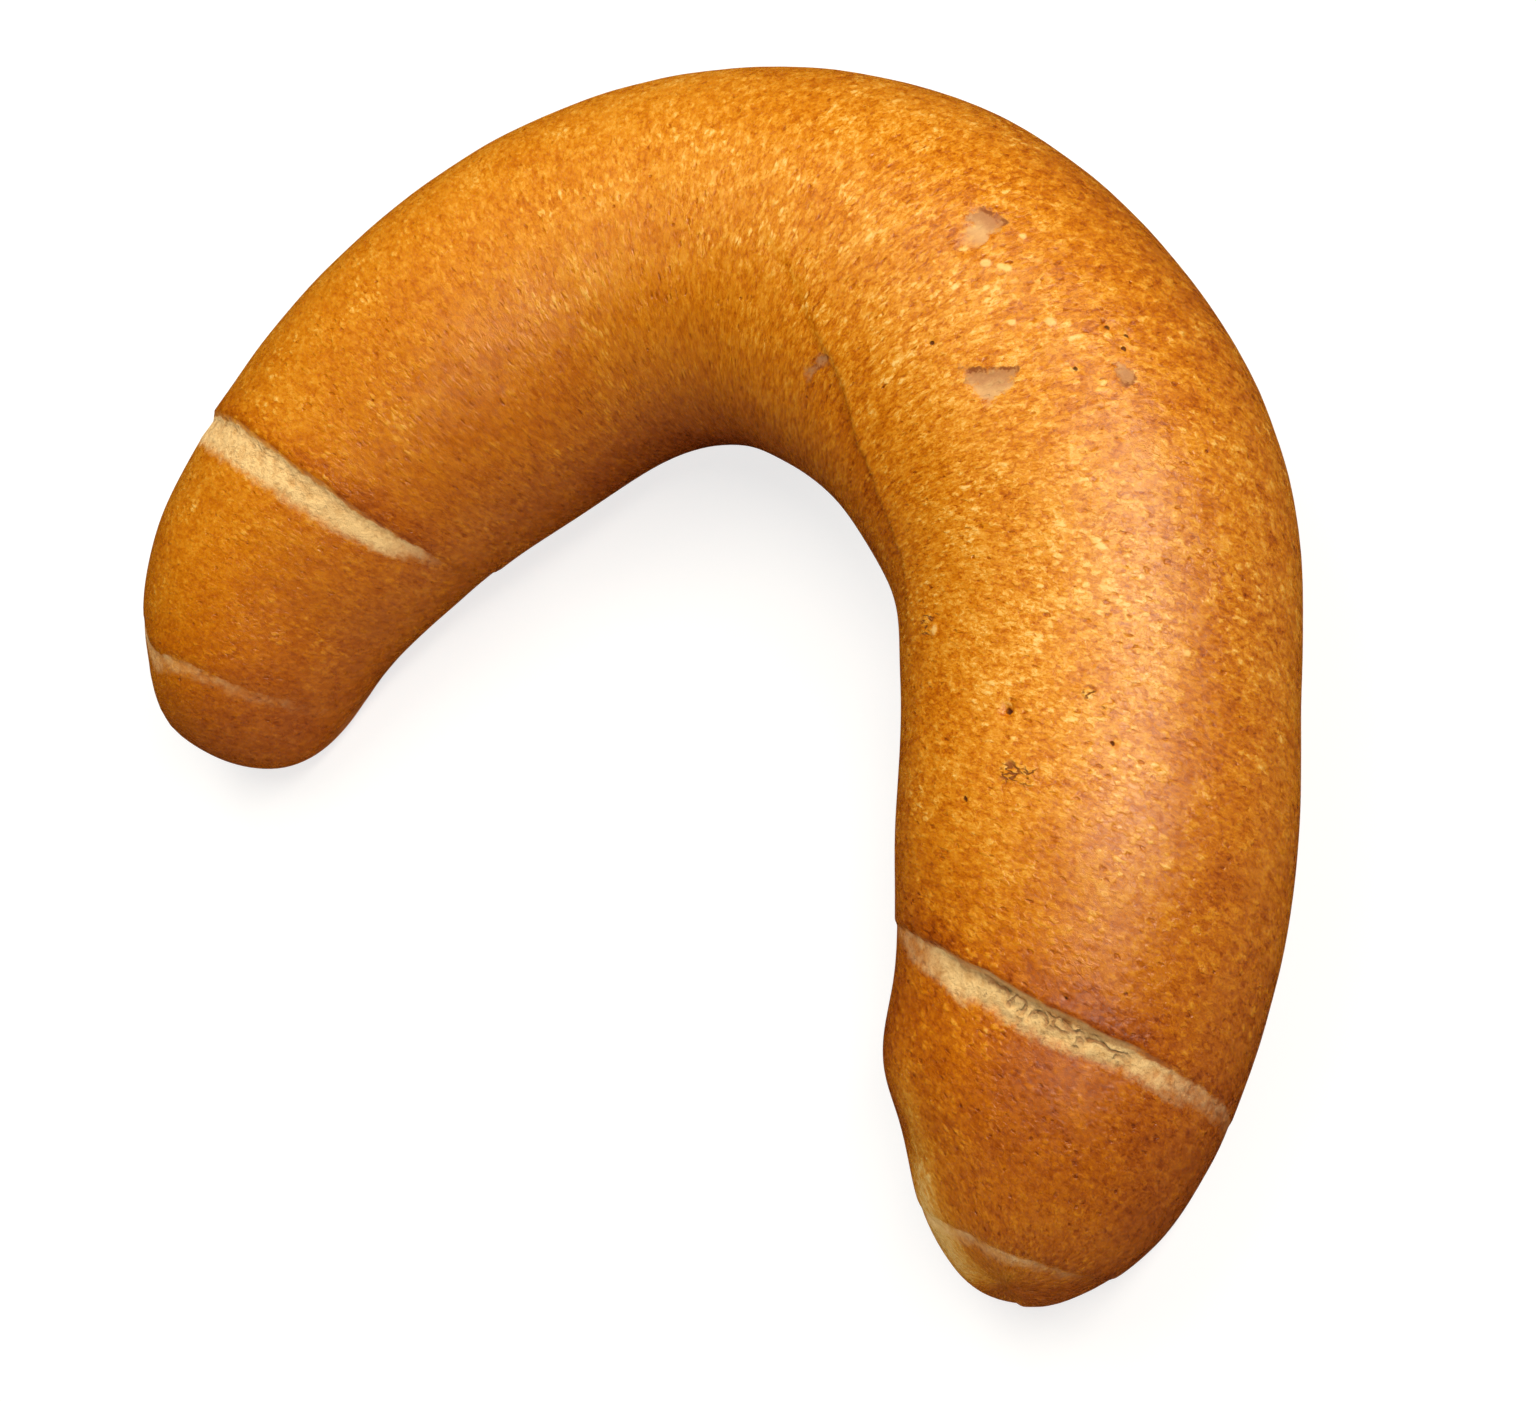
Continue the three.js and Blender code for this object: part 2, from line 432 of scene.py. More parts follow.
class Relief:
    """Heights over the grid's smooth surface, and the marks that the crust's material reads."""

    def __init__(self, grid):
        self.grid = grid
        self.from_tip = {"-X": grid.along, "+X": grid.length - grid.along}
        self.per_along = grid.stretch()
        self.per_degree = grid.round_scale()
        self.height = np.zeros(grid.point.shape[:2])
        self.marks = {
            "in_gap": self.height - FAR,  # depth inside a seam's gap, negative outside
            "gape": self.height.copy(),
            "lip": self.height + FAR,  # distance from the nearest lip
            "behind_lip": self.height + FAR,  # the same, on the lip's own wrap only
            "bare": self.height.copy(),
            "torn": self.height.copy(),
            "flap": self.height + FAR,  # distance onto the last flap, negative beside it
            "flap_step": self.height + through(FLAP_STEP, self.from_tip["+X"]),
            "chip": self.height + FAR,  # distance outside the nearest chip, negative inside
            "from_curl": self.height + FAR,  # distance from a chip's curled side
            "sole": ramp(5, 0.4, grid.point[..., 2]),
            # darker where the crust baked more, and where shade and a highlight are painted
            "baked": self.height + through(BROWNED_AND_SHADED_ROUND, grid.turn),
        }
        self.ragged = 0.3 * ripple(grid.point, 3.5, 1) + 0.15 * ripple(grid.point, 1.2, 2)
        self.lumps = ripple(grid.point, 1.5, 3, octaves=3)
        for horn, seam in SEAMS.items():
            for lap in (0, 360):
                self.open_seam(horn, seam, lap)
        self.lay_flap()
        for chip in CHIPS:
            self.lose_flake(*chip)
        for *place, height in SWELLS:
            self.height += height * self.patch(*place)
        self.dot()
        self.height += 0.22 * ripple(grid.point, 17, 4) + 0.07 * ripple(grid.point, 6, 5)
        self.bake()

    def open_seam(self, horn, seam, lap):
        """One lap of a horn's seam: the lip of the outer wrap, the gap under it and the bare dough."""
        turned = self.grid.turn + lap
        line = softly_through(seam["from_tip"], turned)
        slope = (softly_through(seam["from_tip"], turned + 1) - line) / self.per_degree
        place = (self.from_tip[horn] - line) / np.hypot(1 / self.per_along, slope)
        start, end = seam["from_tip"][0][0], seam["from_tip"][-1][0]
        strength = ramp(start, start + 30, turned) * ramp(end, end - 30, turned)
        gape, bare, torn, step = (through(seam[key], turned) for key in ("gape", "bare", "torn", "step"))
        place = place + self.ragged * np.minimum(gape / 1.5, 1)
        above = ramp(-0.2, 0.6, place)
        under_lip = ramp(0.15, -0.35, place) * (1 - ramp(0, 1, -place / gape))
        in_gap = ramp(0.2, -0.2, place) * ramp(0.4, -0.4, -place - gape)
        step = step * strength
        self.height += LIP_SHARE * step * above * np.exp(-np.maximum(place, 0) / LIP_REACH)
        below = np.exp(-np.maximum(-place - gape, 0) / LIP_REACH)
        self.height -= (1 - LIP_SHARE) * step * (1 - above) * below
        self.height -= (UNDER_LIP + UNDER_TORN_LIP * torn) * bare * strength * under_lip
        self.height += TORN_LUMPS * torn * in_gap * self.lumps
        place = np.where(strength > 0, place, FAR)
        nearer = np.abs(place) < self.marks["lip"]
        self.marks["bare"] = np.where(nearer, bare * strength, self.marks["bare"])
        self.marks["torn"] = np.where(nearer, torn, self.marks["torn"])
        self.marks["gape"] = np.where(nearer, gape, self.marks["gape"])
        self.marks["lip"] = np.minimum(self.marks["lip"], np.abs(place))
        self.marks["behind_lip"] = np.minimum(self.marks["behind_lip"], np.where(place > 0, place, FAR))
        within = np.minimum(-place, place + gape + FOOT_FADE)
        self.marks["in_gap"] = np.maximum(self.marks["in_gap"], within)

    def lay_flap(self):
        """The step where the last flap of dough ends, along the inside of the bend."""
        from_tip = self.from_tip["+X"]
        place = (self.grid.turn - softly_through(FLAP_EDGE, from_tip, 2.5)) * self.per_degree
        place += self.ragged
        step = self.marks["flap_step"]
        over = ramp(-0.2, 0.5, place)
        self.height += 0.5 * step * over * np.exp(-np.maximum(place, 0) / LIP_REACH)
        self.height -= 0.5 * step * (1 - over) * np.exp(np.minimum(place, 0) / LIP_REACH)
        self.marks["flap"] = place

    def lose_flake(self, from_tip, turn, depth, outline, curled_side):
        """A shallow hollow with sharp edges, where a flake of crust has come off."""
        x = (self.from_tip["+X"] - from_tip) * self.per_along
        y = (self.grid.turn - turn) * self.per_degree
        outside = outside_of(outline, x, y) + CHIP_RAGGED * self.ragged
        ends = np.array(outline)[[curled_side, (curled_side + 1) % len(outline)]]
        from_curl = distance_to_line(ends, x, y)
        curl = ramp(0.7, 0.1, from_curl)
        self.height -= depth * ramp(0.15, -0.35, outside)
        self.height += CHIP_CURL * depth * curl * ramp(-0.1, 0.2, outside)
        self.marks["chip"] = np.minimum(self.marks["chip"], outside)
        self.marks["from_curl"] = np.minimum(self.marks["from_curl"], from_curl)

    def dot(self):
        """The pinholes and the blisters."""
        for from_tip, turn, radius in PINHOLES:
            away = self.distance_to(*self.grid.nearest(from_tip, turn))
            self.height -= HOLE_DEPTH * radius * ramp(radius * HOLE_MOUTH, 0, away)
        for from_tip, turn, radius in BLISTERS:
            away = self.distance_to(from_tip, turn)
            self.height += BLISTER_HEIGHT * ramp(radius * BLISTER_SPREAD, 0, away)

    def bake(self):
        """Darkening of the crust, by baking and painted light, and how uneven its colour is: less so where
        darker.
        """
        for *place, amount in BAKING_AND_PAINTED_LIGHT:
            self.marks["baked"] += amount * self.patch(*place)
        not_darkened = 1 - 0.9 * np.clip(self.marks["baked"], 0, 0.5)
        self.marks["uneven"] = not_darkened * through(UNEVEN, self.grid.along)
        self.marks["wrinkled"] = self.patch(*WRINKLED)

    def patch(self, horn, from_tip, turn, half_length, half_angle):
        """1 at a place, falling smoothly away round it."""
        along = (self.from_tip[horn] - from_tip) / half_length
        round_it = (self.grid.turn - turn) / half_angle
        return np.exp(-(along**2) - round_it**2)

    def distance_to(self, from_tip, turn):
        """Distance over the surface from this place, which is measured from the +X tip."""
        along = (self.from_tip["+X"] - from_tip) * self.per_along
        return np.hypot(along, (self.grid.turn - turn) * self.per_degree)

    def raised(self):
        """The grid's points, moved out by the heights. The sole stays flat on the tray."""
        grid = self.grid
        off_sole = ramp(0.0, 4.0, grid.point[..., 2])
        height = self.height * off_sole + np.minimum(self.height, 0) * 0.2 * (1 - off_sole)
        point = grid.point + grid.normal * height[..., None]
        point[..., 2] = np.maximum(point[..., 2], 0)
        return point


def softly_through(points, value, ease=7.0):
    """The curve through these points with its corners rounded off over this distance."""
    offsets = np.linspace(-ease, ease, 5)
    return sum(through(points, value + offset) for offset in offsets) / len(offsets)


def outside_of(outline, x, y):
    """Distance outside a convex outline, negative inside."""
    corners = np.array(outline)
    middle = corners.mean(0)
    distance = np.full(np.broadcast(x, y).shape, -FAR)
    for corner, following in zip(corners, np.roll(corners, -1, 0)):
        side = following - corner
        normal = np.array([side[1], -side[0]]) / np.hypot(*side)
        if normal @ (middle - corner) > 0:
            normal = -normal
        distance = np.maximum(distance, (x - corner[0]) * normal[0] + (y - corner[1]) * normal[1])
    return distance


def distance_to_line(ends, x, y):
    """Distance from the straight line between two ends."""
    start, way = ends[0], ends[1] - ends[0]
    share = np.clip(((x - start[0]) * way[0] + (y - start[1]) * way[1]) / (way @ way), 0, 1)
    return np.hypot(x - start[0] - share * way[0], y - start[1] - share * way[1])


# ---- Mesh ----


def skin_faces(u, v):
    """Faces between rings and segments, closed by a point at each tip, and where their corners lie.

    A corner lies at (u, v) on the strip map: u is the ring's place and v the segment's, from 0 to 1.
    """
    rings, segments = len(u), len(v) - 1
    last_ring = (rings - 1) * segments
    first_tip = rings * segments
    last_tip = first_tip + 1
    faces, places = [], []
    for j in range(segments):
        k = (j + 1) % segments
        for i in range(rings - 1):
            row, after = i * segments, (i + 1) * segments
            faces.append((row + j, after + j, after + k, row + k))
            places += [(u[i], v[j]), (u[i + 1], v[j]), (u[i + 1], v[j + 1]), (u[i], v[j + 1])]
        middle = (v[j] + v[j + 1]) / 2
        faces.append((first_tip, j, k))
        places += [(0, middle), (u[0], v[j]), (u[0], v[j + 1])]
        faces.append((last_tip, last_ring + k, last_ring + j))
        places += [(1, middle), (u[-1], v[j + 1]), (u[-1], v[j])]
    return faces, np.array(places)


def roll_mesh(grid, point, marks):
    """The points as one closed mesh, with the marks on it as attributes and a map for its patterns."""
    tips = np.array([point[0].mean(0), point[-1].mean(0)])
    corners = np.vstack([point[1:-1].reshape(-1, 3), tips]) * MM
    turns = np.append(grid.turn[0], 270.0)
    faces, places = skin_faces(grid.along[1:-1, 0] / grid.length, (turns + 90) / 360)
    mesh = bpy.data.meshes.new(NODE)
    mesh.from_pydata(corners.tolist(), [], faces)
    for name, plan in (("OFBake", places), ("wraps", wrap_places(grid, places))):
        layer = mesh.uv_layers.new(name=name)
        layer.data.foreach_set("uv", plan.astype(np.float32).ravel())
    for name, values in marks.items():
        values = values + np.zeros(point.shape[:2])
        flat = np.concatenate([values[1:-1].ravel(), [values[0].mean(), values[-1].mean()]])
        layer = mesh.attributes.new(name, "FLOAT", "POINT")
        layer.data.foreach_set("value", flat.astype(np.float32))
    mesh.shade_smooth()
    mesh.update()
    return mesh


def wrap_places(grid, places):
    """Millimetres across and along the wraps of dough, for each of these places on the strip map.

    The wraps run beside the seams, so the map slants as the nearer horn's seam does.
    """
    along, turn = places[:, 0] * grid.length, places[:, 1] * 360 - 90
    minus, plus = (
        softly_through(SEAMS[horn]["from_tip"], turn) - through(SEAMS[horn]["from_tip"], 90)
        for horn in ("-X", "+X")
    )
    share = ramp(-60, 60, along - grid.length / 2)
    across = along - minus * (1 - share) + plus * share
    return np.column_stack([across, (turn - 90) * MM_PER_DEGREE])


# ---- Crust ----

# The crust's colour from burnt, through brown and golden, to hardly baked.
CRUST_COLOURS = [
    (0.0, (0.09, 0.010, 0.0005)),
    (0.2, (0.29, 0.052, 0.001)),
    (0.4, (0.45, 0.112, 0.002)),
    (0.55, (0.57, 0.175, 0.003)),
    (0.7, (0.67, 0.255, 0.012)),
    (0.85, (0.76, 0.365, 0.050)),
    (1.0, (0.85, 0.52, 0.16)),
]
DOUGH = (0.92, 0.61, 0.26, 1)
TORN_DOUGH = (0.80, 0.54, 0.23, 1)
SHADED_DOUGH = (0.60, 0.31, 0.09, 1)
DOUGH_IN_PAINTED_SHADE = (0.45, 0.25, 0.10, 1)
FLAKED = (0.40, 0.19, 0.08, 1)
FLAKED_PALE = (0.60, 0.35, 0.15, 1)
BLISTER = (0.92, 0.60, 0.20, 1)
CREVICE = (0.20, 0.045, 0.004, 1)
PAINTED_SHADE_IN_DOUGH_CRACKS = (0.32, 0.12, 0.03, 1)
PAINTED_SHADE_IN_PINHOLES = (0.07, 0.006, 0.001, 1)

PLAIN_SHADE = 0.62  # how pale the crust is where nothing pales or darkens it
# How much each of its patterns pales it.
PALER = {
    "blotches": 0.13,
    "patches": 0.15,
    "grain": 1.25,
    "threads": 0.16,
    "clustered_specks": 0.38,
    "clustered_flecks": 0.2,
    "pores": -0.3,
    "pits": -0.18,
    "wrinkles": 0.25,
}
# How far each of them raises it.
HIGHER = {
    "patches": 0.08,
    "grain": 0.04,
    "fine_grain": 0.006,
    "threads": 0.025,
    "specks": 0.045,
    "pores": -0.12,
    "pits": -0.08,
    "wrinkles": 0.12,
}
SOLE_SHADE = 0.42
GRAIN_STRETCH = (1, 0.62, 1)  # the grain is drawn out along the wraps
GLOSS_ROUGHNESS = 0.27
MATT_ROUGHNESS = 0.87


class Nodes:
    """Adds nodes to a material. Each method gives the socket of its result, and lengths are millimetres.

    place is where on the roll, and grain is where on the map that follows the wraps.
    """

    def __init__(self, material):
        material.use_nodes = True
        self.tree = material.node_tree
        self.shader = self.tree.nodes["Principled BSDF"]
        place = self.add("ShaderNodeTexCoord", {}).outputs["Object"]
        self.place = self.vector("SCALE", place, 1 / MM)
        wraps = self.add("ShaderNodeUVMap", {}, uv_map="wraps").outputs["UV"]
        self.grain = self.shaken(self.vector("MULTIPLY", wraps, GRAIN_STRETCH), 0.5, 0.6)
        self.marks = {}

    def add(self, kind, inputs, **settings):
        node = self.tree.nodes.new(kind)
        for name, value in settings.items():
            setattr(node, name, value)
        for name, value in inputs.items():
            self.feed(node.inputs[name], value)
        return node

    def feed(self, socket, value):
        if isinstance(value, bpy.types.NodeSocket):
            self.tree.links.new(value, socket)
        else:
            socket.default_value = value

    def vector(self, operation, first, second):
        second_name = "Scale" if operation == "SCALE" else 1
        node = self.add("ShaderNodeVectorMath", {0: first, second_name: second}, operation=operation)
        return node.outputs["Value" if operation == "DISTANCE" else "Vector"]

    def shaken(self, place, size, amount):
        """place pushed about by noise, so that a pattern read there has ragged outlines."""
        push = self.add("ShaderNodeTexNoise", {"Vector": place, "Scale": 1 / size}).outputs["Color"]
        push = self.vector("SUBTRACT", push, (0.5, 0.5, 0.5))
        return self.vector("ADD", place, self.vector("SCALE", push, amount))

    def math(self, operation, *values):
        return self.add("ShaderNodeMath", dict(enumerate(values)), operation=operation).outputs[0]

    def total(self, *values):
        result = values[0]
        for value in values[1:]:
            result = self.math("ADD", result, value)
        return result

    def times(self, *values):
        result = values[0]
        for value in values[1:]:
            result = self.math("MULTIPLY", result, value)
        return result

    def ramp(self, low, high, value):
        inputs = {"Value": value, "From Min": low, "From Max": high}
        return self.add("ShaderNodeMapRange", inputs, interpolation_type="SMOOTHSTEP").outputs["Result"]

    def mark(self, name):
        """The mark of this name on the mesh."""
        if name not in self.marks:
            node = self.add("ShaderNodeAttribute", {}, attribute_name=name)
            self.marks[name] = node.outputs["Fac"]
        return self.marks[name]

    def shifted(self, place, shift):
        """A far place for each shift, so that two patterns don't match."""
        return self.vector("ADD", place or self.place, (shift, shift * 0.7, shift * 1.3))

    def noise(self, size, detail=2.0, roughness=0.6, shift=0.0, place=None):
        """Noise from about -1 to 1."""
        moved = self.shifted(place, shift)
        inputs = {"Vector": moved, "Scale": 1 / size, "Detail": detail, "Roughness": roughness}
        value = self.add("ShaderNodeTexNoise", inputs, noise_dimensions="3D").outputs["Fac"]
        return self.math("MULTIPLY_ADD", value, 2.0, -1.0)

    def scattered(self, spacing, place):
        """For points scattered about this far apart: the distance to the nearest, and its random colour."""
        cells = self.add("ShaderNodeTexVoronoi", {"Vector": place, "Scale": 1 / spacing})
        return self.times(cells.outputs["Distance"], spacing), cells.outputs["Color"]

    def spots(self, spacing, radius, share, shift=0.0, place=None):
        """Soft round spots: 1 in the middle of each, and only this share of the places have one."""
        away, colour = self.scattered(spacing, self.shifted(place, shift))
        chance = self.add("ShaderNodeSeparateColor", {"Color": colour}).outputs["Red"]
        here = self.ramp(1 - share, 1 - share * 0.7, chance)
        return self.times(self.ramp(radius, radius * 0.4, away), here)

    def blend(self, share, first, second):
        """first where share is 0, second where it is 1."""
        return self.add("ShaderNodeMix", {0: share, 2: first, 3: second}).outputs[0]

    def mix(self, share, first, second):
        """The same for colours."""
        inputs = {0: share, 6: first, 7: second}
        return self.add("ShaderNodeMix", inputs, data_type="RGBA").outputs[2]

    def colours(self, value, stops):
        """The colour at this value on a scale of (place, colour) stops."""
        scale = self.add("ShaderNodeValToRGB", {"Fac": value})
        elements = scale.color_ramp.elements
        for place, _ in stops[1:-1]:
            elements.new(place)
        for element, (place, colour) in zip(elements, stops):
            element.position = place
            element.color = (*colour, 1)
        return scale.outputs["Color"]


def crust_patterns(nodes):
    """The patterns that the baked crust is made of."""
    grain = nodes.grain
    specks = nodes.spots(0.6, 0.36, 0.5, 23, grain)
    flecks = nodes.spots(1.5, 0.5, 0.35, 29, grain)
    clusters = nodes.ramp(-0.15, 0.4, nodes.noise(7, 2, 0.5, 37))
    threads = nodes.ramp(0.12, 0.02, nodes.math("ABSOLUTE", nodes.noise(1.5, 3, 0.6, 97, grain)))
    threaded = nodes.ramp(-0.15, 0.35, nodes.noise(2.5, 2, 0.6, 101))
    along_wrinkles = nodes.vector("MULTIPLY", grain, (1, 0.35, 1))
    return {
        "blotches": nodes.noise(11, 3, 0.55, 3),
        "patches": nodes.noise(4.5, 3, 0.6, 11),
        "grain": nodes.noise(0.66, 5, 0.95, 19, grain),
        "fine_grain": nodes.noise(0.4, 2, 0.6, 41, grain),
        "threads": nodes.times(threads, threaded),
        "specks": specks,
        "clustered_specks": nodes.times(specks, clusters),
        "clustered_flecks": nodes.times(flecks, clusters),
        "pores": nodes.spots(1.9, 0.24, 0.12, 31),
        "pits": nodes.spots(0.9, 0.26, 0.45, 89, grain),
        "wrinkles": nodes.times(nodes.noise(1.3, 3, 0.6, 109, along_wrinkles), nodes.mark("wrinkled")),
    }


def weighed(nodes, patterns, weights):
    """The sum of the patterns named in weights, each times its weight."""
    return nodes.total(*(nodes.times(patterns[name], weight) for name, weight in weights.items()))


def crust_shade(nodes):
    """How pale the baked crust is, from 0 to 1, and its own small bumps in millimetres."""
    patterns = crust_patterns(nodes)
    toast_by_lip = nodes.times(
        nodes.ramp(5, 0.2, nodes.mark("behind_lip")),
        nodes.ramp(0.05, 0.6, nodes.mark("bare")),
    )
    flap, flap_step = nodes.mark("flap"), nodes.mark("flap_step")
    # Painted shade beside the step of the last flap, and a painted highlight along its edge.
    painted_shade_under_flap = nodes.times(nodes.ramp(-5, -0.2, flap), nodes.ramp(0.3, -0.1, flap))
    painted_highlight_on_flap_edge = nodes.ramp(0.55, 0.25, nodes.math("ABSOLUTE", flap))
    shade = nodes.total(
        PLAIN_SHADE,
        nodes.times(weighed(nodes, patterns, PALER), nodes.mark("uneven")),
        nodes.times(toast_by_lip, -0.14),
        nodes.times(painted_shade_under_flap, flap_step, -0.14),
        nodes.times(painted_highlight_on_flap_edge, flap_step, 0.16),
        # the baked mark: browning, with painted shade and a painted highlight in it
        nodes.times(nodes.mark("baked"), -1.0),
    )
    return shade, weighed(nodes, patterns, HIGHER)


def sole_shade(nodes):
    """The same for the sole, which baked evenly on the tray: browner, matt and finely pitted."""
    patterns = {
        "blotches": nodes.noise(9, 3, 0.6, 131),
        "fine": nodes.noise(0.9, 4, 0.8, 127),
        "pits": nodes.spots(1.3, 0.35, 0.5, 113),
    }
    paler = weighed(nodes, patterns, {"blotches": 0.16, "fine": 0.22, "pits": -0.16})
    higher = weighed(nodes, patterns, {"fine": 0.08, "pits": -0.15})
    return nodes.total(SOLE_SHADE, paler), higher


def whole_crust(nodes, cracks, rims):
    """The colour and bumps of the crust on the top and on the sole, with its crackle."""
    shade, height = crust_shade(nodes)
    shade = nodes.total(shade, nodes.times(rims, 0.14))
    height = nodes.total(height, nodes.times(rims, 0.08), nodes.times(cracks, -0.15))
    below, below_height = sole_shade(nodes)
    shade = nodes.blend(nodes.mark("sole"), shade, below)
    height = nodes.blend(nodes.mark("sole"), height, below_height)
    return nodes.colours(shade, CRUST_COLOURS), height


def bare_places(nodes, crumbs):
    """Where dough shows, between a lip and the wrap below it and on a torn lip's rim."""
    below_lip = nodes.mark("lip")
    above_foot = nodes.math("SUBTRACT", nodes.mark("gape"), below_lip)
    ragged_foot = nodes.times(nodes.noise(1.6, 5, 0.85, 59), 1.7)
    showing = nodes.times(
        nodes.ramp(-0.1, 0.3, nodes.total(nodes.mark("in_gap"), nodes.times(crumbs, 0.5))),
        nodes.ramp(-FOOT_FADE, 0.6, nodes.total(above_foot, ragged_foot)),
        nodes.ramp(0.0, 0.8, nodes.total(nodes.mark("bare"), nodes.times(crumbs, 0.3))),
    )
    rim = nodes.times(nodes.ramp(0.5, 0.15, below_lip), nodes.mark("torn"), 0.7)
    return nodes.math("MAXIMUM", showing, rim)


def tears(nodes):
    """The holes, the shadow and the cracks where the dough under a lip tore, all three painted in as shade.

    Some cracks run along under the lip, and some are arches over bubbles that opened.
    """
    below_lip = nodes.mark("lip")
    inside = nodes.times(nodes.ramp(0.0, 0.2, nodes.mark("in_gap")), nodes.mark("torn"))
    holes = nodes.times(nodes.ramp(0.16, 0.4, nodes.noise(1.1, 3, 0.65, 47)), inside)
    shaded = nodes.ramp(-0.3, 0.4, nodes.noise(2.2, 2, 0.6, 163))
    shadow = nodes.times(nodes.ramp(1.1, 0.2, below_lip), inside, shaded)
    wander = nodes.times(nodes.noise(3.2, 3, 0.6, 61), 1.2)
    from_crack = nodes.math("ABSOLUTE", nodes.total(below_lip, wander, -0.7))
    broken = nodes.ramp(-0.15, 0.15, nodes.noise(2.8, 2, 0.5, 83))
    along_lip = nodes.times(nodes.ramp(0.3, 0.04, from_crack), broken)
    from_bubble, _ = nodes.scattered(2.4, nodes.shaken(nodes.place, 1.3, 0.8))
    from_arch = nodes.math("ABSOLUTE", nodes.total(from_bubble, -0.85))
    arches = nodes.times(nodes.ramp(0.26, 0.04, from_arch), nodes.ramp(1.7, 1.2, below_lip), 0.8)
    return holes, shadow, nodes.times(nodes.math("MAXIMUM", along_lip, arches), inside)


def bare_dough(nodes):
    """Where bare dough shows, its colour, and its bumps."""
    crumbs = nodes.noise(1.5, 5, 0.72, 43)
    holes, shadow, cracks = tears(nodes)
    colour = nodes.mix(nodes.mark("torn"), DOUGH, TORN_DOUGH)
    # Painted shade in the hollows between the crumbs.
    colour = nodes.mix(nodes.ramp(-0.45, 0.2, crumbs), SHADED_DOUGH, colour)
    # Painted shadow under the lip, and painted shade in the holes of the torn dough.
    colour = nodes.mix(nodes.times(shadow, 0.5), colour, DOUGH_IN_PAINTED_SHADE)
    colour = nodes.mix(nodes.times(holes, 0.55), colour, DOUGH_IN_PAINTED_SHADE)
    # Painted shade in the cracks of the torn dough.
    colour = nodes.mix(nodes.times(cracks, 0.8), colour, PAINTED_SHADE_IN_DOUGH_CRACKS)
    height = nodes.total(nodes.times(crumbs, 0.4), nodes.times(holes, -0.22), nodes.times(cracks, -0.3))
    return bare_places(nodes, crumbs), colour, height


def near_points(nodes, grid, point, places):
    """1 at these places on the crust, falling to 0 at each one's radius."""
    nearest = 0.0
    wobble = nodes.times(nodes.noise(0.9, 2, 0.6, 67), 0.3)
    for from_tip, turn, radius in places:
        middle = point[grid.index(from_tip, turn)]
        away = nodes.total(nodes.vector("DISTANCE", nodes.place, tuple(middle)), wobble)
        nearest = nodes.math("MAXIMUM", nearest, nodes.ramp(radius, radius * 0.45, away))
    return nearest


def flaked_crust(nodes):
    """Where crust flaked off, the colour it bared, and its dark edges, with painted shadow by the curl."""
    from_curl = nodes.mark("from_curl")
    raggedness = nodes.blend(nodes.ramp(0.3, 1.8, from_curl), 0.9, 2.4)
    ragged = nodes.total(nodes.mark("chip"), nodes.times(nodes.noise(1.5, 5, 0.85, 71), raggedness))
    from_edge = nodes.math("ABSOLUTE", ragged)
    flaked = nodes.times(nodes.ramp(0.2, -0.4, ragged), nodes.ramp(5.5, 2.5, from_curl))
    # Painted shade: the bared crust is darker towards the curled side, under it.
    paler = nodes.total(nodes.ramp(0.2, 3.0, from_curl), nodes.times(nodes.noise(1.0, 4, 0.8, 73), 0.7))
    colour = nodes.mix(nodes.ramp(0.1, 0.9, paler), FLAKED, FLAKED_PALE)
    # Painted shadow along the curled side, under the lifted crust.
    curl = nodes.times(
        nodes.ramp(0.9, 0.3, from_curl),
        nodes.ramp(0.26, 0.1, from_edge),
        nodes.ramp(-0.3, 0.1, nodes.noise(1.3, 2, 0.6, 151)),
    )
    outline = nodes.times(
        nodes.ramp(0.2, 0.05, from_edge),
        nodes.ramp(-0.1, 0.3, nodes.noise(1.9, 2, 0.6, 103)),
        nodes.ramp(4.0, 1.0, from_curl),
    )
    return flaked, colour, nodes.math("MAXIMUM", nodes.times(curl, 0.9), nodes.times(outline, 0.5))


def crackle(nodes, crackled):
    """Fine dark cracks and pale rims where small bubbles burst."""
    from_crack = nodes.math("ABSOLUTE", nodes.noise(1.4, 2, 0.6, 107, nodes.grain))
    cracks = nodes.times(nodes.ramp(0.08, 0.02, from_crack), crackled)
    rims = nodes.times(nodes.ramp(0.4, 0.2, from_crack), nodes.ramp(0.04, 0.14, from_crack), crackled)
    return cracks, rims


